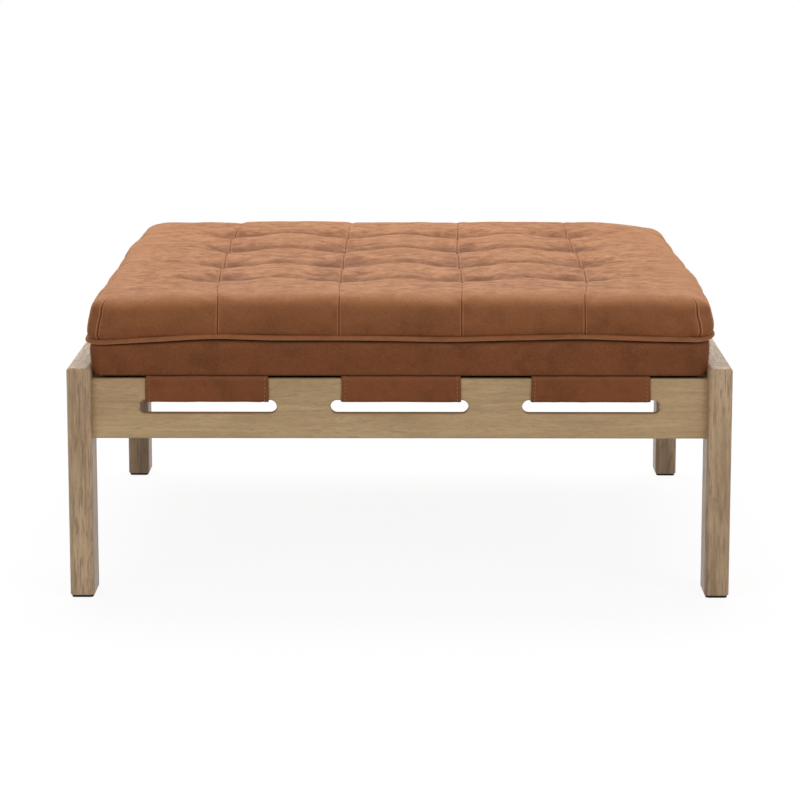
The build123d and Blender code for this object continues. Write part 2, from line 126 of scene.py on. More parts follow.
def subdivide(obj):
    """Applies one level of subdivision surface to the mesh, and closes what is open with flat caps."""
    take_caps_off(obj.data)
    modifier = obj.modifiers.new("Subdivision", "SUBSURF")
    modifier.levels = modifier.render_levels = 1
    modifier.boundary_smooth = "PRESERVE_CORNERS"
    graph = bpy.context.evaluated_depsgraph_get()
    mesh = bpy.data.meshes.new_from_object(obj.evaluated_get(graph))
    obj.modifiers.remove(modifier)
    old = obj.data
    obj.data = mesh
    bpy.data.meshes.remove(old)
    mesh.name = obj.name
    edit(mesh, lambda shell: bmesh.ops.holes_fill(
        shell, edges=[e for e in shell.edges if e.is_boundary], sides=0))
    mesh.polygons.foreach_set("use_smooth", [True] * len(mesh.polygons))


def swell_by_cloth(obj, hold, pressure, cap, slack):
    """Cloth simulation: the cover swells under pressure where it isn't held, each point by less than cap."""
    frames, stiffness = 20, 12.0
    scene = bpy.context.scene
    take_caps_off(obj.data)
    before = coords(obj.data)
    group = obj.vertex_groups.new(name="hold")
    hold = np.round(hold, 2)
    for step in sorted(set(hold[hold > 0])):
        group.add(np.nonzero(hold == step)[0].tolist(), float(step), "REPLACE")
    modifier = obj.modifiers.new("Cloth", "CLOTH")
    modifier.collision_settings.use_collision = False
    modifier.collision_settings.use_self_collision = False
    modifier.point_cache.frame_end = frames
    settings = modifier.settings
    settings.quality = 5
    settings.mass = 0.4
    settings.tension_stiffness = settings.compression_stiffness = stiffness
    settings.shear_stiffness = stiffness / 3
    settings.bending_stiffness = 0.6
    settings.use_pressure = True
    settings.uniform_pressure_force = pressure
    settings.shrink_min = -slack
    settings.vertex_group_mass = group.name
    settings.pin_stiffness = 1.0
    settings.effector_weights.gravity = 0
    for number in range(1, frames + 1):
        scene.frame_set(number)
    graph = bpy.context.evaluated_depsgraph_get()
    after = coords(obj.evaluated_get(graph).data)
    obj.modifiers.remove(modifier)
    obj.vertex_groups.remove(group)
    scene.frame_set(1)
    move = after - before
    length = np.linalg.norm(move, axis=1)
    limited = cap * np.tanh(length / cap)
    move *= (limited / np.maximum(length, 1e-9))[:, None]
    set_coords(obj.data, before + move)


def join_rings(a, b):
    """Quads between two closed rings, given as lists of vertex numbers."""
    return [(a[i], b[i], b[k], a[k]) for i, k in zip(range(len(a)), [*range(1, len(a)), 0])]


def swept_quads(n, m, closed=False):
    """Quads round a section of m points swept through n places, and back to the first where closed."""
    faces = []
    for i in range(n if closed else n - 1):
        k = (i + 1) % n
        for j in range(m):
            l = (j + 1) % m
            faces.append((i * m + j, i * m + l, k * m + l, k * m + j))
    return faces


def bar_faces(n, m):
    """Faces of a bar with a section of m points at n places, with its end caps."""
    return swept_quads(n, m) + [tuple(reversed(range(m))), tuple(range((n - 1) * m, n * m))]


def stitches(name, places, ahead, out, length, thick, material):
    """Raised thread stitches: small arched bars laid on the surface, sunk at both ends."""
    verts, faces = [], []
    sides = 6
    # shares of its length and its thickness: place along it, rise and width
    rows = [(-0.5, -0.9, 0.45), (-0.36, 0.15, 0.9), (0.0, 0.42, 1.0), (0.36, 0.15, 0.9), (0.5, -0.9, 0.45)]
    for p, a, o, s in zip(places, ahead, out, np.cross(ahead, out)):
        base = len(verts)
        for along, lift, wide in rows:
            centre = p + a * along * length + o * lift * thick
            for k in range(sides):
                turn = 2 * pi * k / sides
                verts.append(centre + (s * cos(turn) + o * sin(turn)) * wide * thick / 2)
        faces += [[base + v for v in face] for face in bar_faces(len(rows), sides)]
    return new_object(name, verts, faces, material)


# ---- materials

class Shader:
    """A small writer of the nodes of a material or a world."""

    def __init__(self, name, kind="Material"):
        self.owner = (bpy.data.worlds if kind == "World" else bpy.data.materials).new(name)
        self.owner.use_nodes = True
        self.tree = self.owner.node_tree
        self.tree.nodes.clear()
        self.out = self.tree.nodes.new("ShaderNodeOutput" + kind)

    def node(self, kind, inputs, output=0, **settings):
        node = self.tree.nodes.new("ShaderNode" + kind)
        for key, value in settings.items():
            setattr(node, key, value)
        for key, value in inputs.items():
            if isinstance(value, bpy.types.NodeSocket):
                self.tree.links.new(value, node.inputs[key])
            else:
                node.inputs[key].default_value = value
        return node.outputs[output]

    def coordinates(self, offset=(0, 0, 0), scale=(1, 1, 1), turn=(0, 0, 0)):
        place = self.node("TexCoord", {}, "Object")
        return self.node("Mapping", {"Vector": place, "Location": offset, "Scale": scale, "Rotation": turn})

    def noise(self, vector, scale, detail=3.0, roughness=0.5, distortion=0.0):
        return self.node("TexNoise", {"Vector": vector, "Scale": scale, "Detail": detail,
                                      "Roughness": roughness, "Distortion": distortion}, "Fac")

    def cells(self, vector, scale):
        return self.node("TexVoronoi", {"Vector": vector, "Scale": scale}, "Distance")

    def value(self, name):
        return self.node("Attribute", {}, "Fac", attribute_name=name)

    def math(self, operation, a, b=0.0):
        return self.node("Math", {0: a, 1: b}, operation=operation)

    def plus(self, a, b):
        return self.math("ADD", a, b)

    def times(self, a, b):
        return self.math("MULTIPLY", a, b)

    def span(self, value, low, high, to_low=0.0, to_high=1.0):
        """Maps low..high to to_low..to_high, smoothly and clamped."""
        return self.node("MapRange", {"Value": value, "From Min": low, "From Max": high,
                                      "To Min": to_low, "To Max": to_high},
                         interpolation_type="SMOOTHSTEP")

    def ramp(self, value, *stops):
        """Colour between two stops of (place, colour)."""
        node = self.tree.nodes.new("ShaderNodeValToRGB")
        self.tree.links.new(value, node.inputs[0])
        for element, (place, colour) in zip(node.color_ramp.elements, stops):
            element.position = place
            element.color = (*colour, 1)
        return node.outputs[0]

    def mix(self, share, a, b):
        a, b = (v if isinstance(v, bpy.types.NodeSocket) else (*v, 1) for v in (a, b))
        return self.node("Mix", {0: share, 6: a, 7: b}, 2, data_type="RGBA")

    def bump(self, height, distance, strength, normal=None):
        inputs = {"Height": height, "Distance": distance, "Strength": strength}
        if normal is not None:
            inputs["Normal"] = normal
        return self.node("Bump", inputs)

    def show(self, surface):
        self.tree.links.new(surface, self.out.inputs[0])
        return self.owner

    def finish(self, **inputs):
        return self.show(self.node("BsdfPrincipled", {k.replace("_", " "): v for k, v in inputs.items()}))

    def simple(self, colour, normal, rough, shine):
        return self.finish(Base_Color=colour, Roughness=rough, Specular_IOR_Level=shine, Normal=normal)


def rgb(colour, factor=1.0):
    """Linear colour from display values of 0 to 255, times a factor."""
    values = [c * factor for c in colour]
    return tuple(((c / 255 + 0.055) / 1.055) ** 2.4 if c > 10 else c / 255 / 12.92 for c in values)


def wood(name, along, seed, light=(206, 176, 140), dark=(164, 135, 102), pore=(100, 78, 58),
         pores=0.5, curl=0.1):
    """Oak: growth bands, short dark pores and pale flecks along the grain, which curls where asked."""
    s = Shader(name)
    turn = {"x": (0, 0, 0), "y": (0, 0, -pi / 2), "z": (0, pi / 2, 0)}[along]
    long = s.coordinates((seed * 0.731, seed * 1.173, seed * 0.457), turn=turn)

    def stretched(x, y, z):
        return s.node("Mapping", {"Vector": long, "Scale": (x, y, z)})

    drift = s.noise(stretched(1.2, 12, 12), 1.0, 2.0)
    bands = s.noise(stretched(3.0, 70, 70), 1.0, 3.0, 0.6, 0.3 + curl)
    fine = s.noise(stretched(26 + 10 * curl, 360, 360), 1.0, 3.0, 0.65, curl)
    streak = s.noise(stretched(64, 640, 640), 1.0, 2.0, 0.5)
    cloud = s.noise(stretched(9, 26, 26), 1.0, 3.0, 0.55, 0.6)
    tone = s.plus(s.times(bands, 0.45), s.times(drift, 0.3))
    tone = s.plus(tone, s.times(cloud, 0.25))
    colour = s.ramp(tone, (0.40, rgb(dark)), (0.60, rgb(light)))
    pore_mask = s.times(s.span(fine, 0.52, 0.61), s.span(bands, 0.36, 0.58, 0.35, 1.0))
    colour = s.mix(s.times(pore_mask, pores), colour, rgb(pore))
    colour = s.mix(s.span(fine, 0.45, 0.36, 0.0, 0.5 * pores), colour, rgb(light, 1.12))
    colour = s.mix(s.span(streak, 0.56, 0.68, 0.0, 0.5 * pores), colour, rgb(pore))
    rough = s.span(fine, 0.3, 0.7, 0.36, 0.50)
    height = s.math("SUBTRACT", s.times(fine, -0.5), s.span(streak, 0.56, 0.68))
    return s.simple(colour, s.bump(height, 0.00012, 0.7), rough, shine=0.5)


def leather(name, seed, side=(134, 83, 52), top=(162, 106, 70), dark=(118, 72, 44), light=(196, 136, 94),
            seams=()):
    """Brushed pull-up leather: calm on its upright faces, scuffed where it faces up and lighter there, partly
    from its nap and partly as painted top light.
    """
    s = Shader(name)
    place = s.coordinates(offset=(seed * 0.37, seed * 0.71, seed * 0.13))
    drawn = s.node("Mapping", {"Vector": place, "Scale": (0.75, 1.0, 1.0)})
    looks_up = s.value("faces_up")
    cloud = s.noise(place, 7.0, 3.0, 0.55, 0.3)
    patch = s.noise(drawn, 54.0, 6.0, 0.72, 0.25)
    scuff = s.noise(drawn, 130.0, 5.0, 0.75, 0.4)
    nap = s.noise(place, 380.0, 3.0, 0.6)
    calm = s.noise(place, 26.0, 5.0, 0.65, 0.2)
    # upright faces: soft clouds
    upright = s.mix(s.span(cloud, 0.36, 0.66, 0.0, 0.5), rgb(side), rgb(side, 1.10))
    upright = s.mix(s.span(calm, 0.46, 0.66, 0.0, 0.42), upright, rgb(side, 0.80))
    upright = s.mix(s.span(scuff, 0.50, 0.66, 0.0, 0.22), upright, rgb(side, 1.22))
    # faces that look up: scuffed nap, lighter partly as painted top light
    brushed_and_top_lit = s.mix(s.span(cloud, 0.38, 0.62, 0.0, 0.45), rgb(top), rgb(light))
    for marks, low, high, most, tone in ((patch, 0.50, 0.58, 0.58, dark), (patch, 0.49, 0.41, 0.55, light),
                                         (scuff, 0.52, 0.61, 0.60, dark), (scuff, 0.46, 0.38, 0.45, light)):
        brushed_and_top_lit = s.mix(s.span(marks, low, high, 0.0, most), brushed_and_top_lit, rgb(tone))
    # painted shade: darker in the tufts' hollows and in bands along the row seams
    hollow = s.times(s.value("hollow"), s.span(patch, 0.35, 0.60, 0.60, 0.95))
    brushed_and_top_lit = s.mix(hollow, brushed_and_top_lit, rgb(dark, 0.86))
    brushed_and_top_lit = s.mix(s.span(looks_up, 0.80, 1.0, 0.10, 1.0), s.mix(0.35, rgb(top), rgb(light)), brushed_and_top_lit)
    # the up-facing colour is lighter than the upright one: partly its nap, partly painted top light
    colour = s.mix(s.span(looks_up, -0.02, 0.98), upright, brushed_and_top_lit)
    colour = s.mix(s.span(nap, 0.52, 0.68, 0.0, 0.26), colour, rgb(side, 0.72))
    colour = s.mix(s.span(nap, 0.47, 0.33, 0.0, 0.07), colour, rgb(light))
    grain = s.cells(place, 1500.0)
    crinkle = s.noise(place, 300.0, 3.0, 0.6, 0.6)
    height = s.plus(s.times(grain, 0.25), s.times(crinkle, 0.75))
    normal = s.bump(height, 0.0005, 0.30)
    soft = s.bump(s.noise(place, 60.0, 3.0, 0.55), 0.0016, 0.30, normal)
    rough = s.span(patch, 0.3, 0.7, 0.54, 0.70)
    # a dark line of painted shade in each seam's groove, with a painted pale highlight on both sides
    for seam, deep, wide in seams:
        distance = s.value(seam)
        line = s.span(distance, 0.35 * wide, wide, 1.0, 0.0)
        edge = s.times(s.span(distance, wide, 1.5 * wide),
                       s.span(distance, 1.8 * wide, 3 * wide, 1.0, 0.0))
        colour = s.mix(s.times(line, deep), colour, rgb((62, 30, 16)))
        colour = s.mix(s.times(edge, s.span(looks_up, 0.85, 0.30, 0.08, 0.42)), colour, rgb(light))
    # painted shade where the cover tucks under the piping and at the border's foot
    colour = s.mix(s.span(s.value("tucked"), 0.0, 1.0, 0.0, 0.85), colour, rgb((46, 25, 15)))
    return s.finish(Base_Color=colour, Roughness=rough, Specular_IOR_Level=0.12, Normal=soft,
                    Specular_Tint=(1.0, 0.80, 0.62, 1.0), Sheen_Tint=(1.0, 0.55, 0.30, 1.0),
                    Sheen_Weight=0.55, Sheen_Roughness=0.32)


def thread(name, colour):
    s = Shader(name)
    twist = s.noise(s.coordinates(), 2600.0, 1.0)
    tint = s.mix(s.span(twist, 0.35, 0.65), rgb(colour), rgb(colour, 0.8))
    return s.simple(tint, s.bump(twist, 0.0002, 0.5), rough=0.55, shine=0.3)


def rubber(name):
    s = Shader(name)
    place = s.coordinates()
    grain = s.noise(place, 900.0, 3.0)
    tint = s.mix(s.span(s.noise(place, 90.0), 0.4, 0.65), rgb((34, 33, 32)), rgb((52, 50, 48)))
    return s.simple(tint, s.bump(grain, 0.0003, 0.5), rough=0.85, shine=0.25)


def felt_cloth(name, colour):
    """Bonded cloth: pressed fibres with a grid of small dimples."""
    s = Shader(name)
    place = s.coordinates()
    fibres = s.noise(place, 700.0, 4.0, 0.7, 2.0)
    dimples = s.cells(place, 420.0)
    tint = s.mix(s.span(fibres, 0.35, 0.7), rgb(colour), rgb(colour, 1.5))
    height = s.plus(s.times(fibres, 0.4), dimples)
    return s.simple(tint, s.bump(height, 0.0004, 0.7), rough=0.92, shine=0.2)


def plywood(name):
    """Birch plywood: a calm rotary face and thin plies in its edges."""
    s = Shader(name)
    place = s.coordinates(scale=(3, 30, 30))
    face = s.noise(place, 1.0, 3.0, 0.6, 1.2)
    tint = s.ramp(face, (0.3, rgb((196, 166, 122))), (0.7, rgb((222, 198, 158))))
    level = s.node("SeparateXYZ", {"Vector": s.coordinates()}, 2)
    plies = s.math("SINE", s.times(level, 2 * pi / 0.0028))
    tint = s.mix(s.span(plies, 0.2, 0.8, 0.0, 0.35), tint, rgb((150, 116, 78)))
    return s.simple(tint, s.bump(face, 0.0002, 0.4), rough=0.65, shine=0.3)


def foam(name):
    s = Shader(name)
    pores = s.cells(s.coordinates(), 900.0)
    tint = s.mix(s.span(pores, 0.1, 0.6), rgb((190, 176, 140)), rgb((232, 220, 188)))
    return s.simple(tint, s.bump(pores, 0.0008, 0.8), rough=0.95, shine=0.15)


def metal(name, colour, roughness):
    """Zinc-plated steel: fine scratches and slightly uneven plating."""
    s = Shader(name)
    place = s.coordinates()
    scratch = s.noise(s.coordinates(scale=(3000, 300, 300)), 1.0, 2.0, 0.6)
    blotch = s.noise(place, 300.0, 3.0)
    tint = s.mix(s.span(blotch, 0.35, 0.65), rgb(colour), rgb(colour, 0.85))
    rough = s.span(scratch, 0.3, 0.7, roughness - 0.06, roughness + 0.10)
    return s.finish(Base_Color=tint, Metallic=1.0, Roughness=rough, Normal=s.bump(scratch, 0.00006, 0.5))


def plastic(name, colour):
    s = Shader(name)
    grain = s.noise(s.coordinates(), 1100.0, 2.0)
    tint = s.mix(s.span(grain, 0.35, 0.7), rgb(colour), rgb(colour, 0.88))
    return s.simple(tint, s.bump(grain, 0.0001, 0.4), rough=0.45, shine=0.4)


def dress(material, *nodes):
    """Gives CAD nodes a material."""
    for node in nodes:
        mesh = NODES[node].data
        mesh.materials.clear()
        mesh.materials.append(material)


def dress_in_wood(prefix, along, seed, nodes, *look):
    for number, node in enumerate(nodes, seed):
        dress(wood(prefix + node, along, number, *look), node)


# The wood's light, dark and pore colours, how strong its pores are and how much its grain curls
END_RAIL_OAK = (200, 169, 126), (174, 143, 102), (132, 104, 71), 0.30, 1.6
HIDDEN_OAK = (214, 186, 142), (186, 152, 106), (150, 116, 76), 0.25
corner_blocks = [n for n in sorted(NODES) if n.startswith("corner_block_") and "screws" not in n]
dress_in_wood("oak_", "z", 1, ("leg_front_left", "leg_front_right"), (202, 172, 137), (160, 131, 99))
# the back legs' oak is painted darker, the left one most: painted shade under the cushion
dress_in_wood("oak_", "z", 3, ("leg_back_left",), (158, 131, 101), (124, 100, 75), (76, 58, 42))
dress_in_wood("oak_", "z", 4, ("leg_back_right",), (186, 158, 126), (150, 123, 94), (92, 71, 52))
dress_in_wood("oak_", "y", 6, ("side_rail_left", "side_rail_right"))
dress_in_wood("oak_", "x", 9, ("front_rail", "back_rail"), *END_RAIL_OAK)
dress_in_wood("inner_", "y", 12, ("cross_rail_left", "cross_rail_right"), *HIDDEN_OAK)
dress_in_wood("inner_", "z", 15, corner_blocks, *HIDDEN_OAK)
dress(wood("dowel_wood", "y", 21, (222, 196, 156), (200, 170, 126), (170, 136, 96), 0.15),
      "leg_dowels", "cross_rail_dowels")
dress(rubber("pad_rubber"), *(node for node in NODES if node.startswith("foot_pad_")))
dress(plywood("plywood"), "base_board")
dress(foam("foam"), "base_foam", "top_foam")
dress(thread("twine", (214, 202, 176)), "tuft_ties")
dress(plastic("anchor_plastic", (60, 58, 56)), "tuft_anchors")
for node in ("corner_block_screws", "strap_screws"):
    dress(metal("steel_" + node, (196, 186, 160), 0.34), node)
for node in ("cushion_bolts", "cushion_washers", "tee_nuts"):
    dress(metal("steel_" + node, (186, 188, 190), 0.30), node)


# ---- the cushion's sizes

HALF_X, HALF_Y, CORNER = 0.4305, 0.451, 0.026
WELT_Z = 0.360
TUFT_Z, PANEL_RISE, CROWN = 0.4084, 0.0140, 0.0006
# The rounding between top and side, the side's swell, and how far its foot draws in
ROUND_OUT, ROUND_DOWN = 0.034, 0.0250
SWELL, SEAM_INSET = 0.0012, 0.0050

# Column seams, left to right, as (Y, X) points from the front welt to the back one
STATIONS = (-0.451, -0.267, -0.089, 0.089, 0.267, 0.451)
COLUMNS = [tuple(zip(STATIONS, places)) for places in (
    (-0.2500, -0.2600, -0.2640, -0.2672, -0.2700, -0.2610),
    (-0.0836, -0.0862, -0.0873, -0.0880, -0.0870, -0.0864),
    (0.0843, 0.0872, 0.0863, 0.0850, 0.0886, 0.0916),
    (0.2530, 0.2652, 0.2664, 0.2649, 0.2636, 0.2650),
)]
# Row seams, front to back, as (X, Y) points from left to right
ROWS = (
    ((-0.434, -0.256), (-0.265, -0.259), (-0.088, -0.258), (0.088, -0.260), (0.269, -0.257), (0.434, -0.254)),
    ((-0.434, -0.086), (-0.268, -0.089), (-0.089, -0.088), (0.088, -0.090), (0.271, -0.087), (0.434, -0.088)),
    ((-0.434, 0.092), (-0.272, 0.089), (-0.090, 0.090), (0.087, 0.088), (0.270, 0.090), (0.434, 0.093)),
    ((-0.434, 0.266), (-0.275, 0.267), (-0.089, 0.268), (0.090, 0.266), (0.269, 0.267), (0.434, 0.264)),
)
# Lattice steps across each panel
CELLS = (22, 23, 23, 23, 22)


def eased(points, t):
    """Smooth curve through (t, value) points."""
    xs, ys = np.array(points).T
    t = np.asarray(t, float)
    slopes = np.gradient(ys, xs)
    i = np.clip(np.searchsorted(xs, t) - 1, 0, len(xs) - 2)
    h = xs[i + 1] - xs[i]
    u = np.clip((t - xs[i]) / h, 0, 1)
    return ((2 * u**3 - 3 * u**2 + 1) * ys[i] + (u**3 - 2 * u**2 + u) * h * slopes[i]
            + (3 * u**2 - 2 * u**3) * ys[i + 1] + (u**3 - u**2) * h * slopes[i + 1])


def fullness(u, outer, power):
    """How full the cover is across a panel: not at a seam, all in its middle, mostly at the outer edge."""
    edge_loss = 0.34
    full = np.sin(pi * np.clip(u, 0, 1)) ** power
    if outer == "low":
        full = np.where(u < 0.5, 1 - edge_loss * (1 - 2 * u) ** 2, full)
    elif outer == "high":
        full = np.where(u > 0.5, 1 - edge_loss * (2 * u - 1) ** 2, full)
    return full


def packed(u, outer):
    """Spreads lattice lines so that they stand closer together at the seams."""
    if outer == "low":
        return u + 0.12 * np.sin(pi * u)
    if outer == "high":
        return u - 0.12 * np.sin(pi * u)
    return u - 0.085 * np.sin(2 * pi * u)


def smooth(u):
    u = np.clip(u, 0, 1)
    return u * u * (3 - 2 * u)


# How high each panel stands, of the panels' usual rise
PANEL_SIZE = 1 + np.random.default_rng(11).uniform(-0.10, 0.10, (5, 5))


def lattice():
    """Flat lattice of the top: places, each line's panel, its place in the panel and how full it is."""
    kinds = ("low", "", "", "", "high")
    n = sum(CELLS) + 1
    number = np.concatenate([np.full(c, k) for k, c in enumerate(CELLS)] + [[4]])
    share = np.concatenate([packed(np.arange(c) / c, kind) for c, kind in zip(CELLS, kinds)] + [[1.0]])
    top_x, top_y = HALF_X - ROUND_OUT, HALF_Y - ROUND_OUT
    x, y = np.empty((n, n)), np.empty((n, n))
    # a few passes settle where the wavy seams cross
    guess_x, guess_y = np.meshgrid(*(np.linspace(-t, t, n) for t in (top_x, top_y)), indexing="ij")
    for _ in range(6):
        columns, rows = (
            [np.full((n, n), -edge)] + [eased(c, guess) for c in curves] + [np.full((n, n), edge)]
            for curves, guess, edge in ((COLUMNS, guess_y, top_x), (ROWS, guess_x, top_y)))
        for i in range(n):
            a, b = columns[number[i]][i], columns[number[i] + 1][i]
            x[i] = a + (b - a) * share[i]
        for j in range(n):
            a, b = rows[number[j]][:, j], rows[number[j] + 1][:, j]
            y[:, j] = a + (b - a) * share[j]
        guess_x, guess_y = x.copy(), y.copy()
    # the tufts' valleys are broader along the rows than across them
    full = [np.array([float(fullness(np.array(share[i]), kinds[number[i]], power)) for i in range(n)])
            for power in (1.60, 1.15)]
    return x, y, number, share, full


def cover_height(x, y, fx, fy, size):
    """Height of the tufted cover, from how full it is along X and Y. Seams fade out towards its edge."""
    crown = (1 - (x / HALF_X) ** 2) * (1 - (y / HALF_Y) ** 2)
    start, width, most, share = 0.276, 0.070, 0.86, 0.84
    calm_x, calm_y = (most * smooth((np.abs(place) - start) / width) for place in (x, y))
    fx, fy = fx + (1 - fx) * calm_y, fy + (1 - fy) * calm_x
    swell = share * (fx + fy - fx * fy) + (1 - share) * (fx * fy) ** 0.30
    return TUFT_Z + PANEL_RISE * size * swell + CROWN * np.maximum(crown, 0)


# How far each corner of the cushion droops
DROOP = {(-1, -1): 0.0065, (1, -1): 0.0060, (-1, 1): 0.0010, (1, 1): 0.0140}


def droop(x, y):
    """How much lower the cover lies near the cushion's corners."""
    low, reach = 0.0, 0.075
    for (sx, sy), amount in DROOP.items():
        away = np.hypot(x - sx * HALF_X, y - sy * HALF_Y)
        low = low + amount * np.exp(-((away / reach) ** 2))
    return low


def welt_level(x, y):
    """Height of the piping's centre: it rides up at the outer seams and droops at the cushion's corners."""
    front = ((-0.46, -0.0046), (-0.41, -0.0030), (-0.34, 0.0016), (-0.256, 0.0054), (-0.17, 0.0040),
             (-0.085, 0.0035), (0.02, 0.0028), (0.09, 0.0023), (0.17, 0.0041), (0.240, 0.0060),
             (0.31, 0.0043), (0.39, 0.0014), (0.46, 0.0004))
    side = ((-0.46, -0.0014), (-0.38, 0.0), (-0.267, 0.0036), (-0.17, 0.0014), (-0.089, 0.0028),
            (0.0, 0.0010), (0.089, 0.0028), (0.18, 0.0014), (0.267, 0.0036), (0.38, 0.0002), (0.46, -0.0010))
    near_front, near_back = (np.clip((way * y / HALF_Y - 0.9) / 0.1, 0, 1) for way in (-1, 1))
    along = near_front * eased(front, x) + near_back * eased(front, -x) * 0.8
    # a loop near the front right corner
    lift = 0.0078 * np.exp(-(((x - 0.434) / 0.022) ** 2) - ((y + 0.406) / 0.036) ** 2)
    return WELT_Z + along + (1 - near_front - near_back) * eased(side, y) + lift


def seam_distance(curves, along, across):
    """Distance from the nearest of these seams along one axis."""
    return np.min([np.abs(along - eased(c, across)) for c in curves], axis=0)


# Where on each rounded corner its upright seam stands, from the front or back face
SEAM_TURNS = {(-1, -1): radians(22), (1, -1): radians(12), (-1, 1): radians(20), (1, 1): radians(24)}


def ring(out, corner, swell, number, share):
    """One level ring round the cushion, with a vertex for each edge vertex of the top."""
    n = len(number)
    hx, hy = HALF_X - ROUND_OUT + out, HALF_Y - ROUND_OUT + out
    corner = max(corner, 1e-4)
    points = []

    def side(seams, along_half, across_half, low_turn, high_turn, make):
        """Points from one corner seam to the next, with the swell between seams."""
        flat = along_half - corner
        for i in range(n - 1):
            k = number[i]
            a = seams[k - 1] if k > 0 else -flat - corner * low_turn
            b = seams[k] if k < 4 else flat + corner * high_turn
            s = a + (b - a) * share[i]
            bulge = swell * max(0.0, 1 - (2 * share[i] - 1) ** 2) ** 0.9
            if abs(s) > flat:
                turn = (abs(s) - flat) / corner
                along = (flat + corner * sin(turn)) * (1 if s > 0 else -1)
                points.append(make(along, across_half - corner * (1 - cos(turn)) + bulge))
            else:
                points.append(make(s, across_half + bulge))

    def seam_places(curves, at):
        return [float(eased(c, at)) for c in curves]

    t = SEAM_TURNS
    front = seam_places(COLUMNS, -HALF_Y)
    right = seam_places(ROWS, HALF_X)
    back = [-v for v in reversed(seam_places(COLUMNS, HALF_Y))]
    left = [-v for v in reversed(seam_places(ROWS, -HALF_X))]
    quarter = pi / 2
    side(front, hx, hy, t[-1, -1], t[1, -1], lambda a, b: (a, -b))
    side(right, hy, hx, quarter - t[1, -1], quarter - t[1, 1], lambda a, b: (b, a))
    side(back, hx, hy, t[1, 1], t[-1, 1], lambda a, b: (-a, b))
    side(left, hy, hx, quarter - t[-1, 1], quarter - t[-1, -1], lambda a, b: (-b, -a))
    return np.array(points)


def edge_numbers(nx, ny):
    """Points round the edge of a lattice of nx by ny steps, from the front left corner along the front."""
    return ([(i, 0) for i in range(nx)] + [(nx, j) for j in range(ny)]
            + [(nx - i, ny) for i in range(nx)] + [(0, ny - j) for j in range(ny)])


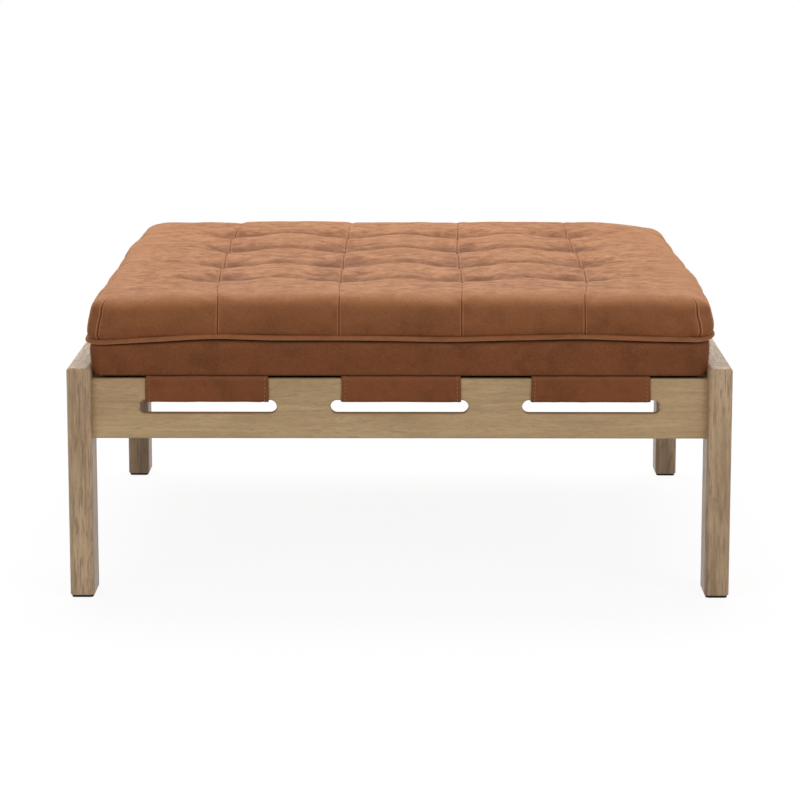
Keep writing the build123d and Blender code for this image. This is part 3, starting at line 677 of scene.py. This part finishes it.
def tufted_top():
    """The upper tier as one closed cover: a tufted top, rounded shoulders and sides down to the piping."""
    x, y, number, share, full = lattice()
    n = len(number)
    fx, fy = np.meshgrid(*full, indexing="ij")
    size = PANEL_SIZE[number][:, number]
    for _ in range(6):
        size = (np.roll(size, 1, 0) + size + np.roll(size, -1, 0)) / 3
        size = (np.roll(size, 1, 1) + size + np.roll(size, -1, 1)) / 3
    z = cover_height(x, y, fx, fy, size) - droop(x, y)
    verts = list(np.stack([x, y, z], axis=2).reshape(-1, 3))
    index = np.arange(n * n).reshape(n, n)
    faces = [(index[i, j], index[i + 1, j], index[i + 1, j + 1], index[i, j + 1])
             for i in range(n - 1) for j in range(n - 1)]
    edge = edge_numbers(n - 1, n - 1)
    at_edge = tuple(np.transpose(edge))
    edge_z, previous = z[at_edge], index[at_edge].tolist()
    # the piping runs about this much further out than the edge
    level_welt = welt_level(x[at_edge] * 1.079, y[at_edge] * 1.076)
    rings = []
    for turn in (0.30, 0.60, 0.90, 1.20, pi / 2):
        out = (ROUND_OUT - 0.0040) * sin(turn)
        xy = ring(out, CORNER * sin(turn) ** 1.5, SWELL * sin(turn), number, share)
        fade = (turn / (pi / 2)) ** 1.5
        rings.append((xy, edge_z - ROUND_DOWN * (1 - cos(turn)) * (0.92 + 0.08 * fade)))
    top_of_side = rings[-1][1]
    for level, inset in ((0.82, 0.0022), (0.62, 0.0006), (0.44, -0.0002), (0.28, 0.0004), (0.16, 0.0014),
                         (0.07, 0.0030), (0.0, SEAM_INSET)):
        pinch = max(inset, 0) / SEAM_INSET
        xy = ring(ROUND_OUT - inset, CORNER - 0.5 * max(inset, 0), SWELL * (1 - 0.75 * pinch), number, share)
        near = np.exp(-(((HALF_X - np.abs(xy[:, 0])) ** 2 + (HALF_Y - np.abs(xy[:, 1])) ** 2) / 0.06**2))
        xy = xy * (1 + 0.0045 * np.exp(-(((level - 0.24) / 0.16) ** 2)) * near)[:, None]
        rings.append((xy, level_welt + level * (top_of_side - level_welt)))
    for xy, zs in rings:
        current = list(range(len(verts), len(verts) + len(edge)))
        verts.extend(np.column_stack([xy, zs]))
        faces += join_rings(previous, current)
        previous = current
    faces.append(previous)
    verts = np.array(verts)
    # the sides bulge a little where the filling is fullest
    px, py, pz = verts.T
    upper = smooth((pz - 0.372) / 0.020)
    right = 0.0060 * np.exp(-(((py + 0.19) / 0.155) ** 2)) * smooth((px - 0.32) / 0.08)
    left = 0.0055 * np.exp(-(((py - 0.15) / 0.120) ** 2)) * smooth((-px - 0.32) / 0.08)
    verts[:, 0] += 0.0010 + upper * (right - left)

    # seam distances and holds, one value for each vertex
    total, far, spacing = len(verts), 0.03, 0.0098
    column_seam, row_seam, corner_seam = (np.full(total, far) for _ in range(3))
    hold, tucked = np.zeros(total), np.zeros(total)
    top = slice(0, n * n)
    column_seam[top] = seam_distance(COLUMNS, x, y).ravel()
    row_seam[top] = seam_distance(ROWS, y, x).ravel()
    tuft_near = np.hypot(column_seam[top], row_seam[top])
    seam_near = np.minimum(column_seam[top], row_seam[top])
    hold[top] = np.maximum(np.where(seam_near < 1e-4, 0.55, 0.0), np.clip(1.02 - tuft_near / 0.012, 0, 1))
    ends, steps = np.divmod(np.arange(len(edge)), n - 1)
    corner_steps = np.minimum(steps, (n - 1) - steps)
    for r, (xy, _) in enumerate(rings):
        here = slice(n * n + r * len(edge), n * n + (r + 1) * len(edge))
        px, py = xy.T
        across = seam_distance(COLUMNS, px, np.where(ends == 0, -HALF_Y, HALF_Y))
        along = seam_distance(ROWS, py, np.where(ends == 1, HALF_X, -HALF_X))
        off = np.where(ends % 2 == 0, across, along)
        column_seam[here] = off
        corner_seam[here] = np.where(corner_steps == 0, 0.0, np.minimum(spacing * corner_steps, far))
        hold[here] = np.maximum(np.where(off < 1e-4, 0.5, 0.0), np.where(corner_steps == 0, 0.7, 0.0))
    # the last ring is sewn to the piping; it and the one above it are darkened with painted shade
    hold[here] = 1.0
    tucked[here] = 0.9
    tucked[here.start - len(edge):here.start] = 0.25
    seams = dict(column_seam=np.minimum(column_seam, far), row_seam=np.minimum(row_seam, far),
                 corner_seam=corner_seam, tucked=tucked)
    return verts, faces, seams, hold


def rumple(co):
    """Small random unevenness of stuffed leather at each point, in metres."""
    rng = np.random.default_rng(77)
    out = np.zeros(len(co))
    for _ in range(26):
        turn, length = rng.uniform(0, 2 * pi), rng.uniform(0.022, 0.085)
        way = co[:, 0] * cos(turn) + co[:, 1] * sin(turn) + 0.6 * co[:, 2]
        out += length * np.sin(2 * pi / length * way + rng.uniform(0, 2 * pi))
    return out * 0.0011


def pleats(co):
    """Gathers that run out of each tuft, and the tuft's own dip, as depths in metres."""
    rng = np.random.default_rng(78)
    out = np.zeros(len(co))
    for c in COLUMNS:
        for r in ROWS:
            x = y = 0.0
            for _ in range(6):
                x, y = float(eased(c, y)), float(eased(r, x))
            dx, dy = co[:, 0] - x, co[:, 1] - y
            away, turn = np.hypot(dx, dy), np.arctan2(dy, dx)
            wave = sum(rng.uniform(0.4, 1.0) * np.cos(m * turn + rng.uniform(0, 2 * pi)) for m in (5, 8, 11))
            reach = rng.uniform(0.020, 0.030)
            gather = wave * 0.00055 * (away / (away + 0.004)) * np.exp(-((away / reach) ** 2))
            out += gather + 0.0022 * np.exp(-((away / 0.013) ** 2))
    return np.where(co[:, 2] > 0.395, out, 0.0)


def build_top(material):
    verts, faces, seams, hold = tufted_top()
    obj = new_object("cushion_top", verts, faces, material)
    for name, values in seams.items():
        set_values(obj.data, name, values)
    swell_by_cloth(obj, hold, pressure=1.2, cap=0.0012, slack=0.012)
    subdivide(obj)
    mesh = obj.data
    co, no = coords(mesh), normals(mesh)
    column, row, corner = (get_values(mesh, k) for k in ("column_seam", "row_seam", "corner_seam"))
    calm_x, calm_y = (1 - 0.75 * smooth((np.abs(co[:, k]) - 0.30) / 0.07) for k in (0, 1))
    on_side = 1 - smooth((co[:, 2] - 0.400) / 0.010)
    # grooves of the seams: each one's depth times its nearness
    groove = 0.0016 * np.maximum(calm_y, 0.7 * on_side) * np.exp(-((column / 0.0022) ** 2))
    groove += 0.0042 * calm_x * np.exp(-np.abs(row) / 0.0065)
    groove += 0.0022 * np.exp(-((corner / 0.0030) ** 2))
    groove += pleats(co) + rumple(co)
    groove *= 1 - smooth(get_values(mesh, "tucked") * 2)
    co -= no * groove[:, None]
    set_coords(mesh, co)
    # the row seams lie buried, and their fold shows as a line of painted shade only on two crests
    behind = [np.abs(co[:, 1] - eased(c, co[:, 0]) - 0.0035) for c in ROWS]
    folds = row + 0.0008
    for away, x in ((behind[0], -0.168), (behind[1], 0.170)):
        beside = 1 - np.exp(-(((co[:, 0] - x) / 0.036) ** 4))
        folds = np.minimum(folds, 0.0002 + 0.45 * away + 0.0014 * beside)
    set_values(mesh, "row_seam", folds)
    # painted shade for the tufts' hollows and for bands along the row seams, darkest near the tufts
    middle = smooth((0.36 - np.abs(co[:, 0])) / 0.08) * smooth((0.36 - np.abs(co[:, 1])) / 0.08)
    hollow = smooth((0.4216 - co[:, 2]) / 0.0090)
    near_tuft = 0.40 + 0.45 * np.exp(-((column / 0.045) ** 2))
    at_seam = np.exp(-((np.min(behind, axis=0) / 0.019) ** 2)) * near_tuft
    at_seam += 0.15 * np.exp(-((column / 0.006) ** 2))
    set_values(mesh, "hollow", middle * np.minimum(1.0, hollow + at_seam * (1 - 0.5 * hollow)))
    mark_faces_up(mesh)
    # the scuffs and the painted top light fade towards the shoulders, so these are painted darker
    inner = smooth((0.408 - np.abs(co[:, 0])) / 0.07) * smooth((0.430 - np.abs(co[:, 1])) / 0.07)
    set_values(mesh, "faces_up", get_values(mesh, "faces_up") * (0.88 + 0.12 * inner))
    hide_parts("top_cover", "top_foam")
    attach(obj, BODY)


def closed_outline(half_x, half_y, corner, step):
    """Points and outward directions round a rounded rectangle, about a step apart."""
    points, outs = [], []
    corners = ((half_x - corner, -half_y + corner, -pi / 2), (half_x - corner, half_y - corner, 0),
               (-half_x + corner, half_y - corner, pi / 2), (-half_x + corner, -half_y + corner, pi))
    arc = max(6, int(corner * pi / 2 / step) + 1)
    for k, (cx, cy, start) in enumerate(corners):
        for i in range(arc):
            turn = start + pi / 2 * i / arc
            outs.append((cos(turn), sin(turn)))
            points.append((cx + corner * cos(turn), cy + corner * sin(turn)))
        end = start + pi / 2
        nx, ny, nstart = corners[(k + 1) % 4]
        a = np.array((cx + corner * cos(end), cy + corner * sin(end)))
        b = np.array((nx + corner * cos(nstart), ny + corner * sin(nstart)))
        count = int(np.linalg.norm(b - a) / step)
        for i in range(count):
            points.append(tuple(a + (b - a) * i / count))
            outs.append((cos(end), sin(end)))
    return np.array(points), np.array(outs)


def build_border(material):
    """The lower tier: a boxed border with a rounded foot, which draws in under the piping."""
    base, top = 0.3101, 0.3598
    # share of the height, and inset
    levels = ((0.0, 0.0072), (0.010, 0.0056), (0.045, 0.0042), (0.12, 0.0031), (0.28, 0.0022), (0.45, 0.0014),
              (0.62, 0.0008), (0.76, 0.0007), (0.86, 0.0014), (0.93, 0.0034), (1.0, 0.0066))
    verts, faces, previous = [], [], []
    points, outs = closed_outline(0.4270, 0.448, 0.020, 0.0066)
    size = len(points)
    level_welt = welt_level(points[:, 0], points[:, 1]) - 0.0002
    for share, inset in levels:
        shrink = inset * np.where(np.abs(outs[:, 0]) > 0.5, 1.0, 0.8)
        z = base + share * (top - base) + share**2 * (level_welt - top)
        current = list(range(len(verts), len(verts) + size))
        verts.extend(np.column_stack([points - outs * shrink[:, None], z]))
        if previous:
            faces += join_rings(previous, current)
        previous = current
    faces += [previous, list(reversed(range(size)))]
    faces = [tuple(reversed(f)) for f in faces]
    obj = new_object("cushion_border", verts, faces, material)
    tucked = np.zeros(len(verts))
    # the ring's number, and how much painted shade darkens it under the piping or at the cushion's foot
    for row, amount in ((-1, 1.0), (-2, 1.0), (-3, 0.35), (0, 0.9), (1, 0.45), (2, 0.15)):
        tucked.reshape(-1, size)[row] = amount
    set_values(obj.data, "tucked", tucked)
    hold = np.zeros(len(verts))
    hold[:3 * size] = 1.0
    hold[-size:] = 1.0
    swell_by_cloth(obj, hold, pressure=0.8, cap=0.0016, slack=0.010)
    subdivide(obj)
    mark_faces_up(obj.data)
    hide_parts("border_cover", "base_foam")
    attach(obj, BODY)


def build_piping(material):
    """Leather piping round the cushion: a round bead with the flange that is sewn into the seam."""
    radius = 0.0035
    points, outs = closed_outline(0.4300, 0.4497, CORNER, 0.005)
    wobble, lift = waves(21, 7, 6, 26), waves(22, 7, 6, 26)
    t = np.arange(len(points)) / len(points)
    level = welt_level(points[:, 0], points[:, 1]) + 0.00035 * lift(t)
    # the cover bulges over the piping at the corners, where it draws in a little
    corner = np.clip((np.abs(outs[:, 0] * outs[:, 1]) * 2), 0, 1)
    push = 0.0006 * wobble(t) - 0.0020 * corner
    path = np.column_stack([points + outs * push[:, None], level])
    across = np.column_stack([outs, np.zeros(len(outs))])
    up = np.array((0.0, 0.0, 1.0))
    turns = [radians(-148) + radians(296) * k / 13 for k in range(14)]
    flange = [(-0.0085, 0.0008), (-0.0085, -0.0008)]
    section = [(radius * cos(turn), radius * sin(turn)) for turn in turns] + flange
    verts = np.stack([path + across * a + up * b for a, b in section], axis=1).reshape(-1, 3)
    faces = swept_quads(len(path), len(section), closed=True)
    obj = new_object("piping", verts, faces, material)
    subdivide(obj)
    mark_faces_up(obj.data)
    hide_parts("welt")
    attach(obj, BODY)


# Each strap's name, middle and width along X, and number for its unevenness
STRAPS = (("strap_left", -0.2648, 0.1685, 31), ("strap_middle", 0.0022, 0.1652, 41),
          ("strap_right", 0.2630, 0.1645, 51))
STRAP_THICK = 0.0025


def strap_line():
    """Middle line of a strap, from its front tail over both end rails to its back tail."""
    rail_inner, rail_outer, slot_top, rail_top, rail_round = 0.427, 0.445, 0.276, 0.3065, 0.003
    tail, clear, thick = 0.300, 0.0003, STRAP_THICK
    inner, outer = rail_inner - clear - thick / 2, rail_outer + clear + thick / 2
    under, over = slot_top - clear - thick / 2, rail_top + clear + thick / 2
    turn = rail_round + clear + thick / 2
    corners = [(-inner, tail), (-inner, under), (-outer, under), (-outer, over),
               (outer, over), (outer, under), (inner, under), (inner, tail)]
    points = [np.array(corners[0])]
    for a, b, c in zip(corners, corners[1:], corners[2:]):
        a, b, c = map(np.array, (a, b, c))
        into, away = (b - a) / np.linalg.norm(b - a), (c - b) / np.linalg.norm(c - b)
        centre = b - into * turn + away * turn
        for i in range(7):
            angle = pi / 2 * i / 6
            points.append(centre - away * turn * cos(angle) + into * turn * sin(angle))
    points.append(np.array(corners[-1]))
    line = [points[0]]
    for a, b in zip(points, points[1:]):
        length = np.linalg.norm(b - a)
        count = max(1, int(length / 0.009))
        line += [a + (b - a) * i / count for i in range(1, count + 1)]
    return np.array(line)


def build_strap(name, middle, width, seed, material, sewing):
    """A strap of folded leather: slightly uneven turned edges, with a row of stitches inside each."""
    line = strap_line()
    step = np.gradient(line, axis=0)
    step /= np.linalg.norm(step, axis=1)[:, None]
    out = np.column_stack([-step[:, 1], step[:, 0]])
    length = np.concatenate([[0], np.cumsum(np.linalg.norm(np.diff(line, axis=0), axis=1))])
    left_edge, right_edge, flat = waves(seed, 5, 6, 14), waves(seed + 1, 5, 6, 14), waves(seed + 2, 5, 4, 10)
    half, thick = width / 2, STRAP_THICK

    def across(s, t):
        """X of a share of the half width, with the unevenness of the nearer edge."""
        return middle + s * half + 0.0006 * (left_edge if s < 0 else right_edge)(t) * abs(s)

    # shares of the half width and of the thickness, with a groove for the stitches
    groove = 0.938
    edge = [(1.0, 0.10), (0.992, 0.40), (0.975, 0.52), (0.955, 0.50), (groove, 0.41), (0.915, 0.50)]
    top = [(-s, h) for s, h in edge] + [(s, 0.50) for s in np.linspace(-0.85, 0.85, 15)] + edge[::-1]
    section = top + [(s, -h) for s, h in reversed(top)]
    verts = []
    for p, o, t in zip(line, out, length):
        for s, h in section:
            rise = h * thick + (0.00015 * flat(t + s) if h > 0 else 0.0)
            verts.append((across(s, t), p[0] + o[0] * rise, p[1] + o[1] * rise))
    obj = new_object(name + "_leather", verts, bar_faces(len(line), len(section)), material)
    mark_faces_up(obj.data)
    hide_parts(name)
    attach(obj, BODY)
    # stitches along both edges
    pitch, margin, rise = 0.0056, 0.006, 0.41 * thick
    places, ahead, outs = [], [], []
    marks = np.arange(margin, length[-1] - margin, pitch)
    at_marks = [np.interp(marks, length, values) for values in (*line.T, *step.T)]
    for s in (-groove, groove):
        for y, z, a, b, t in zip(*at_marks, marks):
            n = sqrt(a * a + b * b)
            a, b = a / n, b / n
            places.append((across(s, t), y - b * rise, z + a * rise))
            ahead.append((0, a, b))
            outs.append((0, -b, a))
    places, ahead, outs = map(np.array, (places, ahead, outs))
    sewn = stitches(name + "_stitching", places, ahead, outs, 0.0042, 0.0010, sewing)
    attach(sewn, BODY)


def build_dust_cover(material):
    """Thin cloth under the board. Over the end rails it sags beside the straps, and closes the gap there."""
    low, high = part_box("dust_cover")
    half_x, half_y = (high.x - low.x) / 2, (high.y - low.y) / 2
    base, thick = low.z, high.z - low.z
    # the sag starts this far inside a strap's edge, and is whole a little further out
    tuck, fade = 0.0012, 0.0006
    rail_start, rail_fade, depth = 0.4245, 0.004, 0.0029
    edges = [c + s * (w / 2 + e) for _, c, w, _ in STRAPS for s in (-1, 1)
             for e in (-tuck, fade - tuck, 0.0004)]
    across = sorted(set(np.round(np.concatenate([np.linspace(-half_x, half_x, 61), edges]), 5)))
    rail_edges = [s * e for s in (-1, 1) for e in (rail_start, 0.4265, 0.4290, 0.4320)]
    along = sorted(set(np.round(np.concatenate([np.linspace(-half_y, half_y, 61), rail_edges]), 5)))
    nx, ny = len(across) - 1, len(along) - 1
    verts, faces = [], []
    corner = 0.020
    for side in (1, -1):
        for row in along:
            for column in across:
                x, y = column, row
                ax, ay = abs(x) - (half_x - corner), abs(y) - (half_y - corner)
                if ax > 0 and ay > 0:
                    scale = corner / max(corner, sqrt(ax * ax + ay * ay))
                    x = (half_x - corner + ax * scale) * (1 if x > 0 else -1)
                    y = (half_y - corner + ay * scale) * (1 if y > 0 else -1)
                off_strap = min(abs(x - c) - w / 2 for _, c, w, _ in STRAPS) + tuck
                near_rail = min(1.0, max(0.0, (abs(y) - rail_start) / rail_fade))
                sag = depth * near_rail * min(1.0, max(0.0, off_strap / fade))
                verts.append((x, y, base + thick / 2 + side * 0.3 * thick - sag))
    size = (nx + 1) * (ny + 1)
    for j in range(ny):
        for i in range(nx):
            a = j * (nx + 1) + i
            faces.append((a, a + 1, a + nx + 2, a + nx + 1))
            faces.append((size + a, size + a + nx + 1, size + a + nx + 2, size + a + 1))
    rim = [j * (nx + 1) + i for i, j in edge_numbers(nx, ny)]
    faces += join_rings(rim, [size + a for a in rim])
    obj = new_object("dust_cover_cloth", verts, faces, material, smooth=False)
    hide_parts("dust_cover")
    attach(obj, BODY)


top_leather = leather("top_leather", 1, seams=(("column_seam", 0.72, 0.0010), ("row_seam", 0.75, 0.0012),
                                               ("corner_seam", 0.75, 0.0012)))
border_leather = leather("border_leather", 2, side=(125, 75, 47))
piping_leather = leather("piping_leather", 3, side=(150, 95, 62), top=(168, 111, 76))
strap_leather = leather("strap_leather", 4, side=(127, 76, 47), top=(140, 88, 58), light=(160, 104, 72))
strap_thread = thread("strap_thread", (188, 132, 96))

build_top(top_leather)
build_border(border_leather)
build_piping(piping_leather)
for name, middle, width, seed in STRAPS:
    build_strap(name, middle, width, seed, strap_leather, strap_thread)
build_dust_cover(felt_cloth("dust_cloth", (44, 43, 42)))


# ---- floor, backdrop, light and camera

def white_ground():
    """Pale ground that keeps the object's shadow, and shows white further off and in reflections."""
    s = Shader("ground")
    path = s.tree.nodes.new("ShaderNodeLightPath")
    seen = s.math("MAXIMUM", path.outputs["Is Camera Ray"], path.outputs["Is Glossy Ray"])
    seen = s.math("MAXIMUM", seen, path.outputs["Is Transmission Ray"])
    away = s.node("VectorMath", {0: s.coordinates()}, 1, operation="LENGTH")
    far = s.span(away, 0.9, 2.4)
    shade = s.mix(seen, (0.62, 0.62, 0.61), (0.10, 0.10, 0.10))
    shade = s.mix(s.times(seen, far), shade, (0.0, 0.0, 0.0))
    glow = s.times(seen, s.span(far, 0.0, 1.0, 0.915, 1.0))
    diffuse = s.node("BsdfDiffuse", {"Color": shade})
    light = s.node("Emission", {"Color": (1, 1, 1, 1), "Strength": glow})
    return s.show(s.node("AddShader", {0: diffuse, 1: light}))


def ground_mesh():
    """Floor that curves up into a backdrop behind."""
    profile = [(-9.0, 0.0), (-3.0, 0.0), (0.0, 0.0), (4.0, 0.0)]
    for i in range(1, 13):
        angle = pi / 2 * i / 12
        profile.append((4.0 + 2.0 * sin(angle), 2.0 * (1 - cos(angle))))
    profile.append((6.0, 7.0))
    verts = [(x, y, z) for y, z in profile for x in (-9.0, 9.0)]
    faces = [(2 * i, 2 * i + 1, 2 * i + 3, 2 * i + 2) for i in range(len(profile) - 1)]
    obj = new_object("ground", verts, faces, white_ground())


ground_mesh()


LIGHT_TARGET = (0.0, 0.0, 0.3)


def softbox(name, place, size, power):
    light = bpy.data.lights.new(name, "AREA")
    light.shape = "RECTANGLE"
    light.size, light.size_y = size
    light.energy = power
    obj = bpy.data.objects.new(name, light)
    obj.location = place
    obj.rotation_euler = (Vector(LIGHT_TARGET) - Vector(place)).to_track_quat("-Z", "Y").to_euler()
    bpy.context.scene.collection.objects.link(obj)


softbox("overhead", (0.0, 1.5, 3.0), (3.6, 2.6), 110)
softbox("front_left", (-2.4, -3.6, 2.2), (2.2, 1.8), 36)
softbox("front_right", (2.8, -3.4, 2.2), (2.0, 1.6), 45)

# the world is white to the camera, and lights the object more dimly
studio = Shader("studio", "World")
strength = studio.node("MapRange", {"Value": studio.node("LightPath", {}, "Is Camera Ray"), "To Min": 0.34})
background = studio.node("Background", {"Color": (1, 1, 1, 1), "Strength": strength})
bpy.context.scene.world = studio.show(background)

camera_data = bpy.data.cameras.new("camera")
camera_data.sensor_width = 36.0
FOCAL_PIXELS, PICTURE_PIXELS = 2946.5, 800
camera_data.lens = camera_data.sensor_width * FOCAL_PIXELS / PICTURE_PIXELS
camera_data.clip_end = 100
camera = bpy.data.objects.new("camera", camera_data)
camera.location = (0.0219, -4.4345, 0.9858)
PITCH, YAW = 0.1759, 0.0053
camera.rotation_euler = (pi / 2 - PITCH, 0.0, YAW)
bpy.context.scene.collection.objects.link(camera)
bpy.context.scene.camera = camera

bpy.context.scene.view_settings.view_transform = "Standard"
